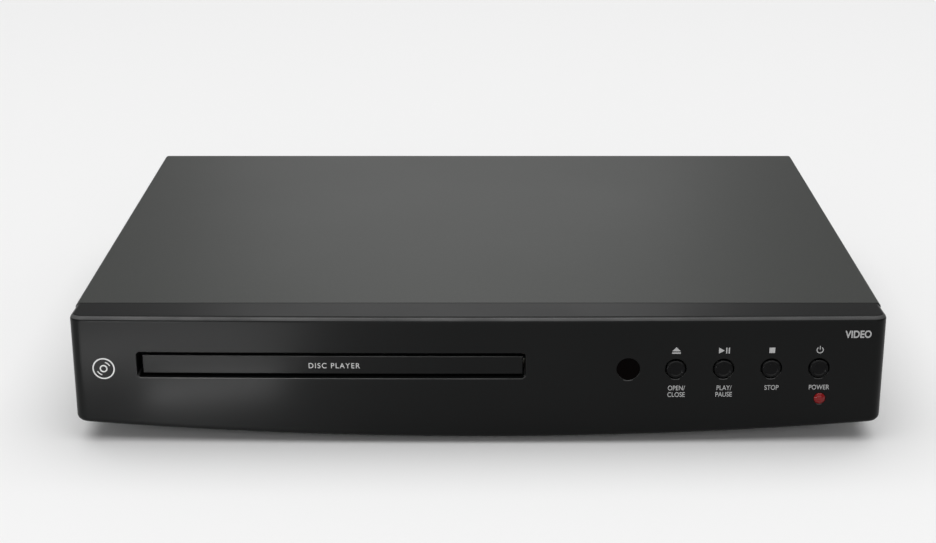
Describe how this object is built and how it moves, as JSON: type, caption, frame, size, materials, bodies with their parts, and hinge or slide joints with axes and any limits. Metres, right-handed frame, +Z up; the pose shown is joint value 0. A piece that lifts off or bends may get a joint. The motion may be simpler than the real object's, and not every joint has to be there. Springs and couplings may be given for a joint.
{
  "type": "compact disc player with motorised tray",
  "caption": "Slim mains-powered tabletop disc player with motorised loading tray, bowed front, push buttons and a complete loading mechanism inside.",
  "frame": {"origin": "middle of the footprint's bounding box, on the surface that the feet stand on", "axes": "+Z up, the front with the tray and buttons faces -Y, the sockets face +Y, +X is the right side seen from the front"},
  "size_m": [0.285, 0.2182, 0.0475],
  "materials": {
    "cover_paint": "satin dark grey paint",
    "zinc_steel": "zinc plated sheet",
    "front_plastic": "semi gloss black moulding",
    "button_plastic": "semi gloss black",
    "white_plastic": "natural white",
    "dark_window": "dark red tinted window",
    "red_lens": "red tinted lens",
    "foot_rubber": "matt black",
    "black_screw": "blackened",
    "bright_metal": "nickel plated",
    "brown_board": "phenolic board",
    "green_board": "solder resist",
    "dark_plastic": "dark grey moulding",
    "tray_plastic": "fine grained moulding",
    "brass": "plain",
    "cast_frame": "cast",
    "lens_glass": "coated",
    "yellow_tape": "winding tape",
    "aluminium": "plain",
    "jack_colours": "yellow, white, red and orange"
  },
  "bodies": {
    "base": {"top_cover": "cover_paint", "chassis": "zinc_steel", "rear_panel": "zinc_steel", "front_bezel": "front_plastic", "ir_window": "dark_window", "power_led_lens": "red_lens", "foot_front_left": "foot_rubber", "foot_front_right": "foot_rubber", "foot_rear_left": "foot_rubber", "foot_rear_right": "foot_rubber", "cover_screws": "black_screw", "board_screws": "bright_metal", "loader_screws": "bright_metal", "loader_grommets": "foot_rubber", "front_board": "brown_board", "tact_switches": "dark_plastic", "ir_receiver": "dark_plastic", "power_led": "red_lens", "ribbon_cables": "white_plastic", "loader_frame": "dark_plastic", "tray_motor": "bright_metal", "drive_belt": "foot_rubber", "clamp_bridge": "zinc_steel", "main_board": "green_board", "main_board_chips": "dark_plastic", "main_board_parts": "dark_plastic", "power_board": "brown_board", "power_transformer": "yellow_tape", "power_capacitors": "dark_plastic", "heat_sink": "aluminium", "digital_video_jack": "bright_metal", "rca_block": "dark_plastic", "rca_sleeves": "bright_metal", "rca_inserts": "jack_colours", "ac_inlet": "dark_plastic", "ac_pins": "brass"},
    "tray": {"disc_tray": "tray_plastic", "tray_door": "front_plastic"},
    "eject": {"eject_button": "button_plastic", "eject_plunger": "white_plastic"},
    "play": {"play_button": "button_plastic", "play_plunger": "white_plastic"},
    "stop": {"stop_button": "button_plastic", "stop_plunger": "white_plastic"},
    "power": {"power_button": "button_plastic", "power_plunger": "white_plastic"},
    "motor_pulley": {"motor_pulley": "brass"},
    "pulley_gear": {"pulley_gear": "white_plastic"},
    "tray_gear": {"tray_gear": "white_plastic"},
    "cam_slider": {"cam_slider": "white_plastic"},
    "traverse": {"traverse_frame": "cast_frame", "spindle_motor": "bright_metal", "guide_rods": "bright_metal", "sled_motor": "bright_metal"},
    "turntable": {"turntable": "dark_plastic"},
    "pickup": {"pickup_base": "cast_frame"},
    "lens": {"lens_holder": "lens_glass"},
    "sled_motor_gear": {"sled_motor_gear": "white_plastic"},
    "sled_gear": {"sled_gear": "white_plastic"},
    "clamper": {"clamper": "white_plastic"}
  },
  "joints": [
    {"name": "tray_slide", "type": "slide", "parent": "base", "child": "tray", "axis": [0, -1, 0], "range_m": [0, 0.138]},
    {"name": "tray_gear_spin", "type": "hinge", "parent": "base", "child": "tray_gear", "pos_m": [0.02625, -0.0825, 0.027], "axis": [0, 0, 1], "range_deg": [-5, 663.9]},
    {"name": "pulley_gear_spin", "type": "hinge", "parent": "base", "child": "pulley_gear", "pos_m": [0.03585, -0.06587, 0.028], "axis": [0, 0, 1], "range_deg": [-1981.7, 5]},
    {"name": "motor_pulley_spin", "type": "hinge", "parent": "base", "child": "motor_pulley", "pos_m": [0.06556, -0.0617, 0.033], "axis": [0, 0, 1], "range_deg": [-8367.98, 5]},
    {"name": "cam_slide", "type": "slide", "parent": "base", "child": "cam_slider", "axis": [1, 0, 0], "range_m": [0, 0.014]},
    {"name": "traverse_tilt", "type": "hinge", "parent": "base", "child": "traverse", "pos_m": [-0.051, 0.0455, 0.02275], "axis": [-1, 0, 0], "range_deg": [-0.05, 4.35]},
    {"name": "turntable_spin", "type": "hinge", "parent": "traverse", "child": "turntable", "pos_m": [-0.051, -0.03654, 0.01884], "axis": [0, -0.075, 0.9972], "continuous": true},
    {"name": "pickup_slide", "type": "slide", "parent": "traverse", "child": "pickup", "axis": [0, 0.9972, 0.075], "range_m": [0, 0.035]},
    {"name": "sled_gear_spin", "type": "hinge", "parent": "traverse", "child": "sled_gear", "pos_m": [-0.016, 0.00295, 0.02181], "axis": [0, -0.075, 0.9972], "range_deg": [-291.48, 5]},
    {"name": "sled_motor_spin", "type": "hinge", "parent": "traverse", "child": "sled_motor_gear", "pos_m": [-0.00928, 0.00965, 0.02231], "axis": [0, -0.075, 0.9972], "range_deg": [-5, 807.14]},
    {"name": "lens_focus", "type": "slide", "parent": "pickup", "child": "lens", "axis": [0, -0.075, 0.9972], "range_m": [-0.0007, 0.0007], "stiffness_N_per_m": 42},
    {"name": "clamper_spin", "type": "hinge", "parent": "base", "child": "clamper", "pos_m": [-0.051, -0.0366, 0.035], "axis": [0, 0, 1], "continuous": true},
    {"name": "eject_press", "type": "slide", "parent": "base", "child": "eject", "axis": [0, 1, 0], "range_m": [0, 0.0005], "stiffness_N_per_m": 500, "springref_m": -0.001},
    {"name": "play_press", "type": "slide", "parent": "base", "child": "play", "axis": [0, 1, 0], "range_m": [0, 0.0005], "stiffness_N_per_m": 500, "springref_m": -0.001},
    {"name": "stop_press", "type": "slide", "parent": "base", "child": "stop", "axis": [0, 1, 0], "range_m": [0, 0.0005], "stiffness_N_per_m": 500, "springref_m": -0.001},
    {"name": "power_press", "type": "slide", "parent": "base", "child": "power", "axis": [0, 1, 0], "range_m": [0, 0.0005], "stiffness_N_per_m": 500, "springref_m": -0.001}
  ],
  "couplings": [
    {"joint": "tray_gear_spin", "follows": "tray_slide", "rad_per_m": 83.333},
    {"joint": "pulley_gear_spin", "follows": "tray_slide", "rad_per_m": -250},
    {"joint": "motor_pulley_spin", "follows": "tray_slide", "rad_per_m": -1057.7},
    {"joint": "traverse_tilt", "follows": "cam_slide", "rad_per_m": 5.3606},
    {"joint": "sled_gear_spin", "follows": "pickup_slide", "rad_per_m": -142.86},
    {"joint": "sled_motor_spin", "follows": "pickup_slide", "rad_per_m": 400}
  ]
}
